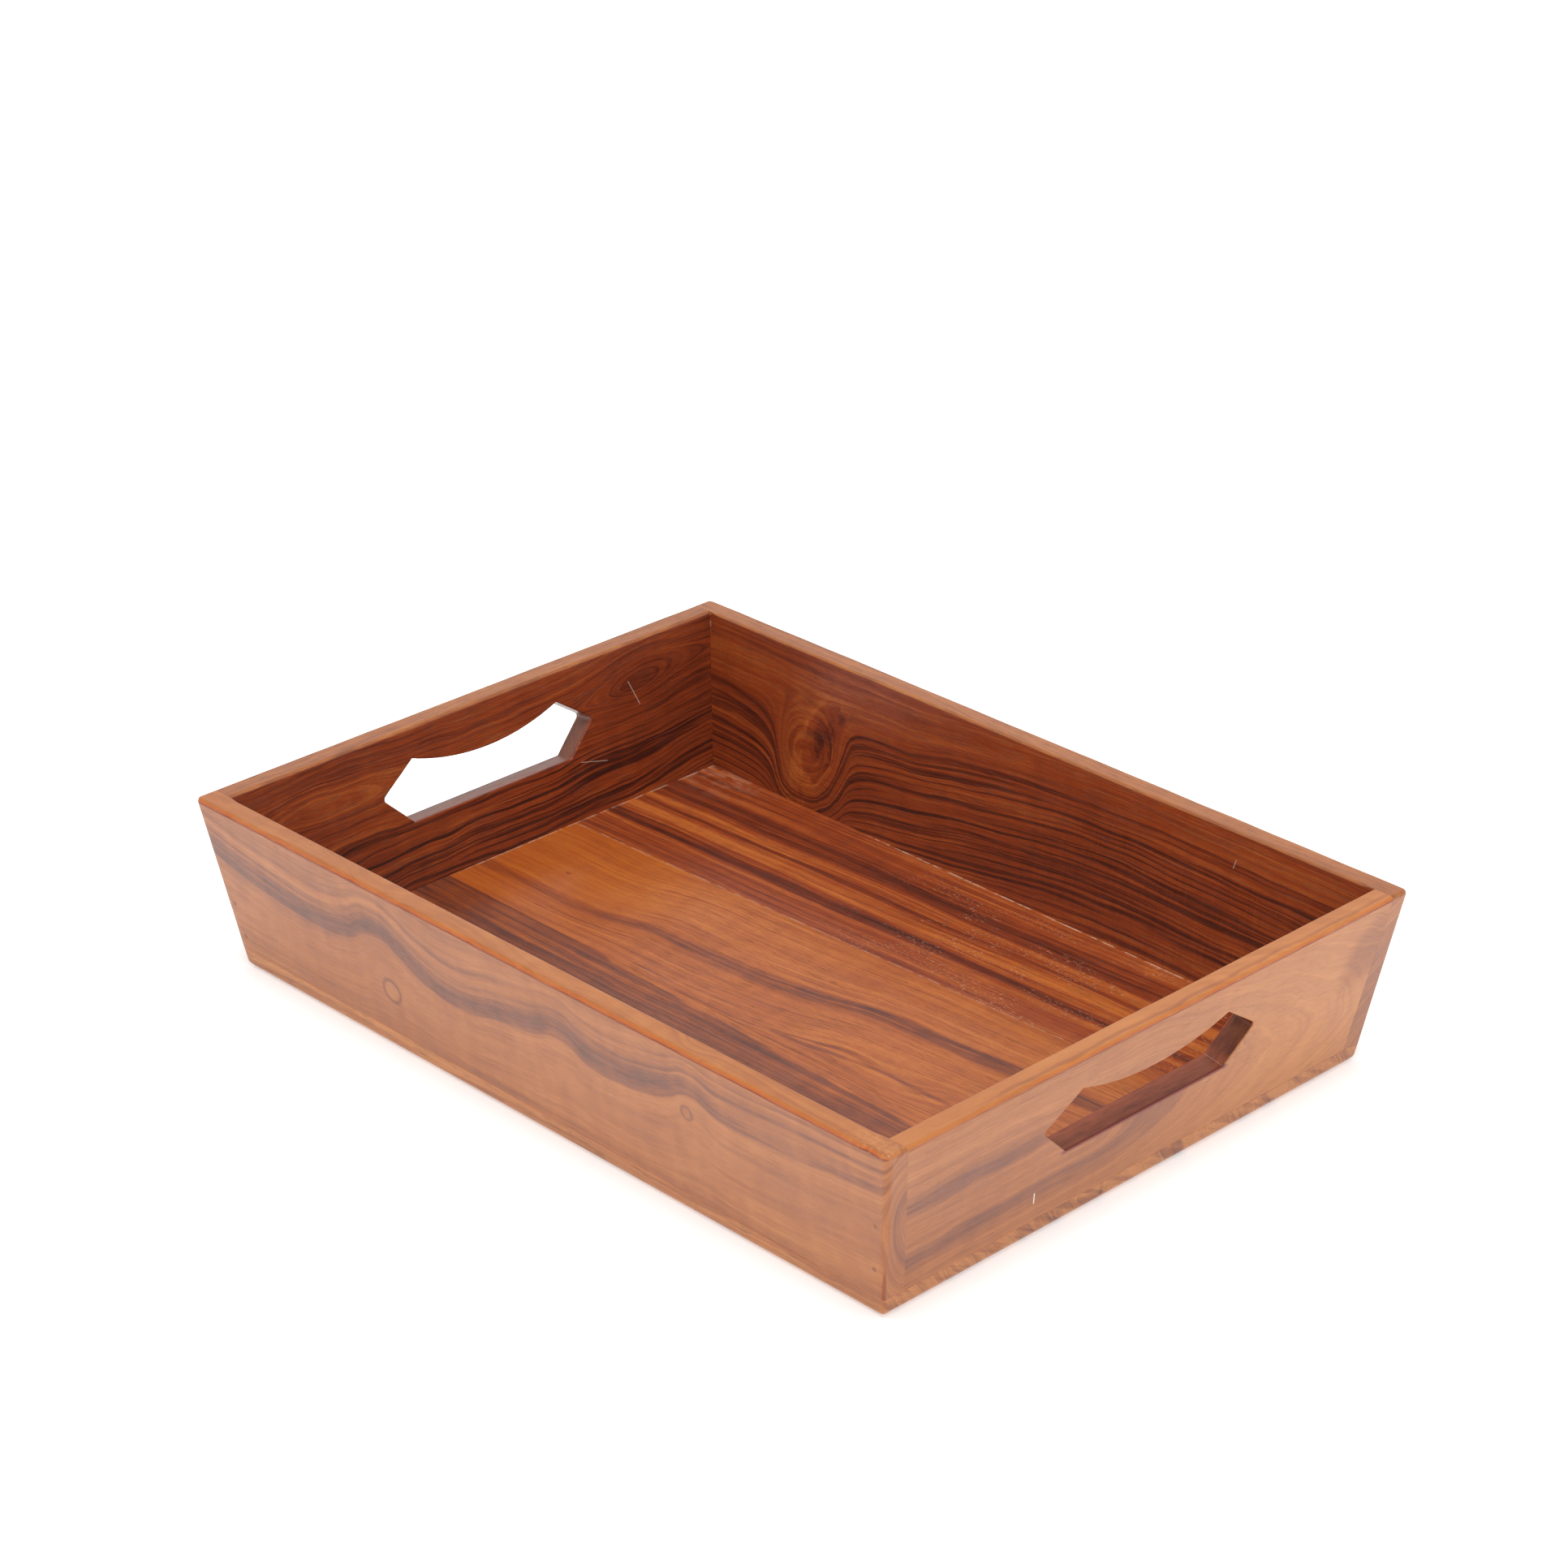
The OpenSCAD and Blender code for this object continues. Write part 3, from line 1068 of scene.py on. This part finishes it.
# %% Back board
def back_board_wood(finish, x, y, z):
    depth = below_long_face(y, z)
    inward = BOARD - depth
    drift = finish.noise(x / 55 + 8.2, z / 20, depth / 20)
    sweep = curve_along(finish, x, [
        (-192, 38), (-150, 38), (-138, 35), (-130, 24), (-124, 12), (-114, 7), (-103, 16), (-93, 34),
        (-84, 45), (-50, 51), (-7, 58), (43, 63.5), (100, 63), (192, 60),
    ])
    dip = (sweep - 50).limit(-60.0, 0.0) * z.step(0, 20, 0.6, 1.0) * z.fade(26, 60)
    climb = (sweep - 50).limit(0.0, 30.0) * z.step(0, 30, 0.5, 1.0) * z.step(52, 76, 1.0, 0.5)
    height = z - dip - climb + drift * 1.2 - inward * 0.8
    lined = height.fade(47, 52)
    comb = finish.noise(x / 190, height / 1.6, depth / 60, roughness=0.6)
    streaks = comb.step(-0.1, 0.42) * lined * 0.42 + ribbon(height, 48.3, 50.0, 0.8, 0.6) * 0.28
    streaks = streaks + lined * 0.03 - z.fade(6, 19) * x.step(-90, -60) * 0.14
    # the burl: a dark rind that fades to the left, a swirling core and a pale halo
    burl_x = (x + 108 - (z - 38) * 0.3) / 8.5
    lumps = finish.noise(x / 8 + 2.0, z / 12, detail=3.0)
    burl = hypotenuse(burl_x, (z - 38) / 14) + lumps * 0.42
    swirl = finish.noise(x / 5, burl * 3.5, z / 11, detail=3.0)
    rind = burl_x.step(-1.2, 0.6, 0.1, 1.0)
    streaks += burl.bump_at(1.0, 0.2) * rind * (0.24 + swirl * 0.3)
    streaks += burl.fade(0.15, 0.9) * (0.2 + swirl * 0.36)
    streaks -= burl.bump_at(1.4, 0.22) * burl_x.step(-1.2, 0.0, 1.0, 0.3) * 0.14
    streaks += x.fade(-150, -70) * comb.step(0.0, 0.4) * z.step(60, 66) * 0.14
    # a pale flame of wood that was pushed down below the burl
    flame = (x + 120 - z * 0.12).bump_at(0.0, 6.5) * z.bump_at(22, 20)
    streaks = streaks - flame * (0.2 + swirl * 0.3) + burl_x.bump_at(0.2, 0.7) * z.bump_at(42, 7) * 0.2
    # fine ripples across the grain, left by the planer
    ripple = finish.noise(x / 1.1, z / 16, detail=1.0) * x.step(-40, 60) * z.step(48, 60, 1.0, 0.3)
    streaks += ripple * 0.07
    pale = scratch(x, z, (116.0, 63.0), (114.8, 58.5), strength=0.35) * inward.fade(1, 2)
    look = Look(0.64, broad=0.14, fine=0.15, hair=0.16, mottle=0.05, fibre=0.15, pores=0.45)
    inside = well_face(inward, z) * from_end(x, z).step(4, 6)
    # painted highlight: pale glints of lacquer pooled in the corner with the left board, near the rim
    corner = x + end_in(0) / MM + z * math.tan(END_LEAN)
    pale_lines = glue_and_sheen_line(finish, corner, z * 4, 0.9, 262, 310, strength=0.45, seed=3.0)
    marks = [
        *rim_line(finish, z, depth, x), hip_line(finish, x, z, depth), (pale, SCRATCH),
        (pale_lines.limit() * inside, GLUE_AND_SHEEN),
    ]
    tip = end_grain(x, z, depth) * z.bump_at(30, 18) * (0.16 + swirl * 0.1)
    streaks = streaks * inside.step(0, 1, 0.35, 1.0) + tip
    grow(finish, x, z, depth, height, streaks, inside, look, seed=2, marks=marks)


dress(back_board, made_of(back_board_wood))

# %% [markdown]
# ## The end boards
# Both end boards run across the tray. The left one shows its inner face, with two long eyes beside
# the hand hole. The right one shows its outer face, where the saw cut through a cone of growth rings
# and left a soft grey tongue that points to the back, with a paler one round it. The walls of the
# holes were sawn, and rough wood drinks more stain, so they come out darker than the faces.

# %% Walls of the hand holes
HOLE_FOOT = HOLE_Z / MM * math.cos(END_LEAN)


def hole_stain(finish, y, z, depth, strength):
    """The walls of a hand hole: anything inside the board that lies round its outline."""
    up = z - HOLE_FOOT
    zone = abs(y).fade(58.0, 59.0) * up.step(-3, -2) * up.fade(28, 29)
    inside = depth.step(0.25, 0.7) * depth.fade(BOARD - 0.7, BOARD - 0.25)
    soak = finish.noise(y / 9, z / 5, depth / 1.5, detail=3.0)
    return zone * inside * (strength + soak * 0.25).limit()


def hole_sill(y, z):
    """The flat bottom of a hand hole, where hands rubbed the stain back to a warmer brown."""
    return abs(y).fade(43, 46) * z.fade(HOLE_FOOT + 3, HOLE_FOOT + 6)


# %% Left board
def left_board_wood(finish, x, y, z):
    depth = below_end_face(x, z)
    inward = BOARD - depth
    drift = finish.noise(y / 48 + 1.7, z / 18, depth / 18)
    height = z + drift * 2.2 - inward * 0.9 - y.step(20, 120, 0.0, 6.0)
    height = eye(height, y, 84, 53, 24.0, 8.5)
    height = eye(height, y, -84, 54, 26.0, 6.0)
    comb = finish.noise(y / 120, height / 1.6, depth / 60, roughness=0.6)
    eyes = y.bump_at(84, 34) * z.bump_at(56, 16) + y.bump_at(-70, 50) * z.bump_at(58, 14)
    lined = (z.step(30, 40, 1.0, 0.22) + eyes * 0.4).limit(0.0, 1.0)
    streaks = comb.step(-0.1, 0.42) * lined * 0.5 + y.step(60, 125) * 0.1
    streaks -= hypotenuse((y - 84) / 17, (z - 57) / 6).fade(0.2, 1.1) * 0.16
    streaks -= hypotenuse((y + 84) / 18, (z - 55) / 5).fade(0.2, 1.1) * 0.1
    streaks -= y.bump_at(107, 15) * z.bump_at(64, 9) * 0.16
    pale = scratch(y, z, (77.5, 58.0), (82.5, 46.0), strength=0.4)
    pale += scratch(y, z, (46.0, 32.0), (61.0, 28.2), strength=0.3)
    pale *= inward.fade(1, 2)
    look = Look(0.59, broad=0.18, fine=0.16, hair=0.16, mottle=0.06, fibre=0.17, pores=0.5)
    marks = [
        (hole_stain(finish, y, z, depth, 0.7), STAIN), *rim_line(finish, z, depth, y),
        (pale, SCRATCH),
    ]
    inside = well_face(inward, z)
    streaks *= inside.step(0, 1, 0.35, 1.0)
    grow(finish, y, z, depth, height, streaks, inside, look, seed=3, marks=marks)


dress(left_board, made_of(left_board_wood))


# %% Right board
def right_board_wood(finish, x, y, z):
    depth = below_end_face(x, z)
    drift = finish.noise(y / 55 + 5.5, z / 20, depth / 20)
    # the tongue is an ellipse cut off square behind its middle, so its sides run straight to the front
    nose = (y + drift * 7 + 38).limit(0.0, 400.0) / 50
    belly = (z - 33 + drift * 2.4) / 13.5
    tongue = hypotenuse(nose, belly) + depth * 0.01
    cloud = finish.noise(y / 30, tongue * 8, detail=3.0)
    streaks = ribbon(tongue, 0.58, 1.2, 0.2, 0.26) * (0.31 + cloud * 0.13)
    streaks += y.fade(-100, -30) * z.bump_at(32, 22) * 0.07
    streaks += ribbon(tongue, 0.26, 0.42, 0.08, 0.1) * 0.16
    streaks += ribbon(tongue, 1.62, 1.74, 0.05, 0.12) * y.step(-90, 0, 1.0, 0.3) * 0.13
    patch = hypotenuse((y - 118) / 15, (z - 54) / 15 - (y - 118) / 30)
    streaks += patch.fade(0.5, 1.2) * 0.3
    # lighter towards the back end of the board: partly paler wood, partly painted light, as if more
    # light fell on that end
    pale_end = y.step(0, 90, 0.0, 0.18) * depth.fade(3, 6)
    wavy = finish.noise(y / 24 + 2.0, 1.3)
    rim_streak = ribbon(depth + wavy * 1.1, 1.9, 3.7, 0.5, 0.8) * z.step(68, 71) * y.step(-110, -60)
    streaks = streaks + rim_streak * 0.36 - pale_end - rim_top(z) * 0.08
    arris = rim_line(finish, z, depth, y, strength=y.step(-120, -20, 0.35, 0.8))
    lip = ribbon(z, HOLE_FOOT - 1.97, HOLE_FOOT - 0.17, 0.3, 0.3) * abs(y).fade(43, 45)
    lip *= depth.fade(0.7, 1.2)
    pale = scratch(y, z, (-55.3, 21.2), (-54.6, 15.6), width=0.4, strength=0.85)
    pale *= depth.fade(0.5, 1)
    look = Look(0.725, broad=0.08, fine=0.11, hair=0.12, mottle=0.05, fibre=0.11, pores=0.25)
    walls = hole_stain(finish, y, z, depth, 0.85)
    worn = finish.noise(y / 8, depth / 1.3, 4.4, detail=3.0)
    marks = [
        (walls, STAIN), (walls * hole_sill(y, z) * (0.68 + worn * 0.6).limit(), RUBBED),
        (rim_top(z) * 0.25, AMBER), *arris, (lip * 0.85, LIP_STAIN), (pale, SCRATCH),
    ]
    inside = well_face(BOARD - depth, z)
    grow(finish, y, z, depth, tongue * 15, streaks, inside, look, seed=4, marks=marks)


dress(right_board, made_of(right_board_wood))

# %% [markdown]
# ## The base planks
# The three planks were picked from different wood. The back one is striped from dark brown to
# orange, the middle one is a plain honey colour with one soft streak that climbs to the right, and
# the front one is dark along the side where it meets the middle plank.

# %% Back plank
def base_top(z):
    """The top face of the base, which is the floor of the well."""
    return z.step(BASE - 0.5, BASE - 0.2)


def end_patches(finish, x, y, z):
    """Slanting light and dark growth rings on the sawn ends of a plank."""
    slant = finish.noise((y + z * 1.9) / 9 + 5.3, (y - z) / 60, detail=3.0)
    return slant.step(-0.25, 0.4, -0.34, 0.06) * abs(x).step(174.5, 176)


def left_joint(finish, x, y):
    """Glue squeezed out where the planks meet the left end board."""
    return glue_and_sheen_line(finish, x + end_in(BASE_T) / MM, y, 1.1, -20, 118, strength=0.4, seed=8.0)


def back_plank_wood(finish, x, y, z):
    drift = finish.noise(x / 70 + 2.2, y / 16, z / 16)
    rings = y - (x + 172) * 0.037 + drift * 1.4 + (z - BASE) * 0.7
    cloud = finish.noise(x / 50, rings / 1.2, detail=3.0)
    streaks = sum(ribbon(rings, *span) * strength for strength, span in (
        (0.34, (55.5, 62.0, 0.7, 1.2)), (0.34, (75.0, 77.2, 0.4, 0.6)), (0.32, (85.0, 98.0, 2.0, 3.0)),
        (0.12, (39.0, 52.5, 1.0, 0.6)), (0.08, (103.0, 120.0, 3.0, 2.0)),
    ))
    streaks = streaks * (1.1 + cloud * 0.5) - x.step(-40, 110) * 0.11
    glow = sum(ribbon(rings, *span) * strength for strength, span in (
        (0.14, (66.0, 72.5, 0.8, 1.0)), (0.14, (80.0, 82.0, 0.5, 0.8)), (0.12, (53.2, 54.8, 0.4, 0.4)),
    ))
    # glue along the skewed seam and the left board, glue and a painted lacquer highlight along the back
    # board, painted glints on the lacquer, and a whitish patch of scuffs and painted sheen in one
    # corner
    seam_y = y - back_seam(0) / MM - x * (back_seam(MM) - back_seam(0)) / MM
    pale_lines = glue_and_sheen_line(finish, seam_y, x, 0.55, -168, 110, strength=0.36, seed=2.0)
    back_joint = side_in(BASE_T) / MM - y
    pale_lines += glue_and_sheen_line(finish, back_joint, x, 1.0, -70, 108, strength=0.6, seed=5.0)
    pale_lines += left_joint(finish, x, y)
    painted_glints = finish.noise(x / 2.2, y / 0.55, detail=1.0).step(0.4, 0.52)
    painted_glints *= finish.noise(x / 40 + 2, y / 12).step(0.0, 0.25) * x.step(-60, 0) * 0.4
    look = Look(0.69, broad=0.1, fine=0.26, hair=0.2, mottle=0.05, fibre=0.17, pores=0.55)
    inside = base_top(z)
    streaks = (streaks - glow) * inside.step(0, 1, 0.4, 1.0) + end_patches(finish, x, y, z)
    scuffs_and_sheen = finish.noise(x / 9 + 4, y / 6, detail=4.0, roughness=0.6).step(-0.2, 0.5)
    scuffs_and_sheen *= x.fade(-160, -115) * y.step(88, 116)
    marks = [
        (pale_lines.limit() * inside, GLUE_AND_SHEEN), (painted_glints * inside, GLUE_AND_SHEEN), (scuffs_and_sheen * inside * 0.18, GLUE_AND_SHEEN),
    ]
    grow(finish, x, y, z, rings, streaks, inside, look, seed=5, marks=marks)


dress(back_plank, made_of(back_plank_wood))


# %% Middle and front planks
def middle_plank_wood(finish, x, y, z):
    drift = finish.noise(x / 60 + 9.4, y / 20, z / 20)
    climb = curve_along(finish, x, [
        (-192, 30), (-160, 30.5), (-110, 31), (-90, 36), (-72, 41), (-45, 42), (-12, 45), (10, 48),
        (40, 55), (70, 57), (102, 60), (192, 68),
    ])
    share = y.step(-30, -5, 0.25, 1.0) * y.step(20, 48, 1.0, 0.4)
    rings = y - (climb - 40) * share + drift * 1.4 + (z - BASE) * 0.8
    cloud = finish.noise(x / 22, rings / 1.6, detail=3.0)
    streaks = ribbon(rings, -6.5, 1.8, 4.5, 1.6) * (0.37 + cloud * 0.24)
    low = y + 25 - x.step(18, 78, 0.0, 8.0) + drift
    streaks += ribbon(low, -1.0, 1.0, 0.5, 0.9) * x.step(0, 30) * (0.28 + cloud * 0.12)
    streaks += ribbon(rings, -13.0, -11.6, 0.6, 0.8) * x.step(20, 90) * (0.16 + cloud * 0.2)
    wisps = finish.noise(x / 70 + 4, rings / 1.3).step(0.18, 0.5)
    streaks += wisps * y.step(-14, -4, 1.0, 0.25) * 0.2
    speck = hypotenuse((x + 136) / 1.6, y - 6).fade(0.6, 1.1) * 0.4
    look = Look(0.685, broad=0.14, fine=0.18, hair=0.2, mottle=0.07, fibre=0.2, pores=0.45, inner=HONEY)
    # painted light: a lighter patch where light through the left hand hole falls on the base and is
    # mirrored in it
    painted_hole_glow = x.bump_at(-112, 36) * y.bump_at(8, 20) * 0.12
    rich = x.step(-165, -60, 0.45, 0.0) * z.step(7, 8)
    marks = [(rich, RICH), (left_joint(finish, x, y).limit() * base_top(z), GLUE_AND_SHEEN)]
    streaks = streaks + speck - painted_hole_glow + end_patches(finish, x, y, z)
    grow(finish, x, y, z, rings, streaks, base_top(z), look, seed=6, marks=marks)


def front_plank_wood(finish, x, y, z):
    drift = finish.noise(x / 60 + 4.4, y / 14, z / 14)
    top = x.step(-95, -60, -27.0, -32.0) - x.step(-60, 110, 0.0, 5.0)
    wander = finish.noise(x / 26 + 1.2, y / 9, detail=3.0)
    dark = (y - top + wander * 1.8).fade(-2.0, 1.0) * x.step(80, 185, 1.0, 0.45)
    dark *= y.step(-116, -84)
    rings = y + drift * 1.6 + (z - BASE) * 0.8
    look = Look(0.68, broad=0.14, fine=0.24, hair=0.22, mottle=0.06, fibre=0.2, pores=0.5, inner=HONEY)
    streaks = dark * (0.42 + wander * 0.1) + end_patches(finish, x, y, z)
    streaks -= y.fade(-124.5, -123.5) * 0.12
    grow(finish, x, y, z, rings, streaks, base_top(z), look, seed=7)


dress(middle_plank, made_of(middle_plank_wood))
dress(front_plank, made_of(front_plank_wood))

# %% [markdown]
# ## Filler and steel
# The stoppings are a brown putty of glue and sawdust. The brads are bright drawn steel with fine
# rings left by the die. They can't be seen, but they stay in the scene.

# %% Filler and steel
def filler_paste(finish, x, y, z):
    crumbs = finish.noise(x / 0.35, y / 0.35, z / 0.35, detail=3.0)
    browns = [(0.2, (0.19, 0.065, 0.024)), (0.8, (0.30, 0.105, 0.034))]
    finish.set_all({
        "Base Color": finish.ramp(crumbs * 0.5 + 0.5, browns),
        "Roughness": crumbs * 0.1 + 0.45,
        "Normal": finish.bump(crumbs, 0.1 * MM, strength=0.6),
    })


def drawn_steel(finish, x, y, z):
    scores = finish.noise(x / 3, y / 3, z / 0.12)
    greys = [(0.2, (0.42, 0.42, 0.41)), (0.8, (0.62, 0.61, 0.6))]
    finish.set_all({
        "Base Color": finish.ramp(scores * 0.5 + 0.5, greys),
        "Roughness": scores * 0.1 + 0.32,
        "Metallic": 1.0,
    })


paste, steel = made_of(filler_paste), made_of(drawn_steel)
for piece in (corner_stoppings, base_stoppings):
    dress(piece, paste)
for node in ("corner_brads", "base_brads"):
    dress(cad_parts[node], steel)

# %% Write the sizes and finish
model_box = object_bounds()
for axis, low, high in zip("XYZ", *model_box):
    print(f"{axis}: {low / MM:.2f} to {high / MM:.2f} mm")
